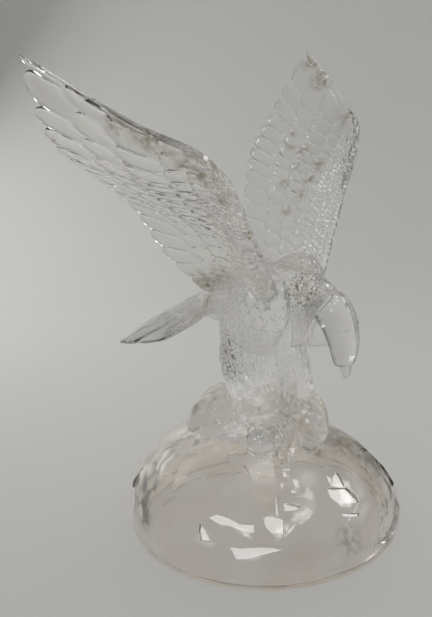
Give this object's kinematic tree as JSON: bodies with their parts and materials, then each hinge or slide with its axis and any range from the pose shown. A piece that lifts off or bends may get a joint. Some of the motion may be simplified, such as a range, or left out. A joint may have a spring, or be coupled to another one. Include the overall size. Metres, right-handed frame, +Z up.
{
  "type": "crystal eagle figurine",
  "caption": "Clear pressed crystal eagle with raised wings, alighting head down on a domed faceted rock with a hollow underside.",
  "frame": {"origin": "centre of the bounding box in plan, on the surface that the rock's foot ring stands on", "axes": "+Z up, the eagle faces -Y and its left wing is on +X"},
  "size_m": [0.2388, 0.176, 0.2556],
  "materials": {
    "crystal": "clear, polished, with dust and brown dirt in the carving"
  },
  "bodies": {
    "root": {"crystal_eagle": "crystal"}
  },
  "joints": []
}
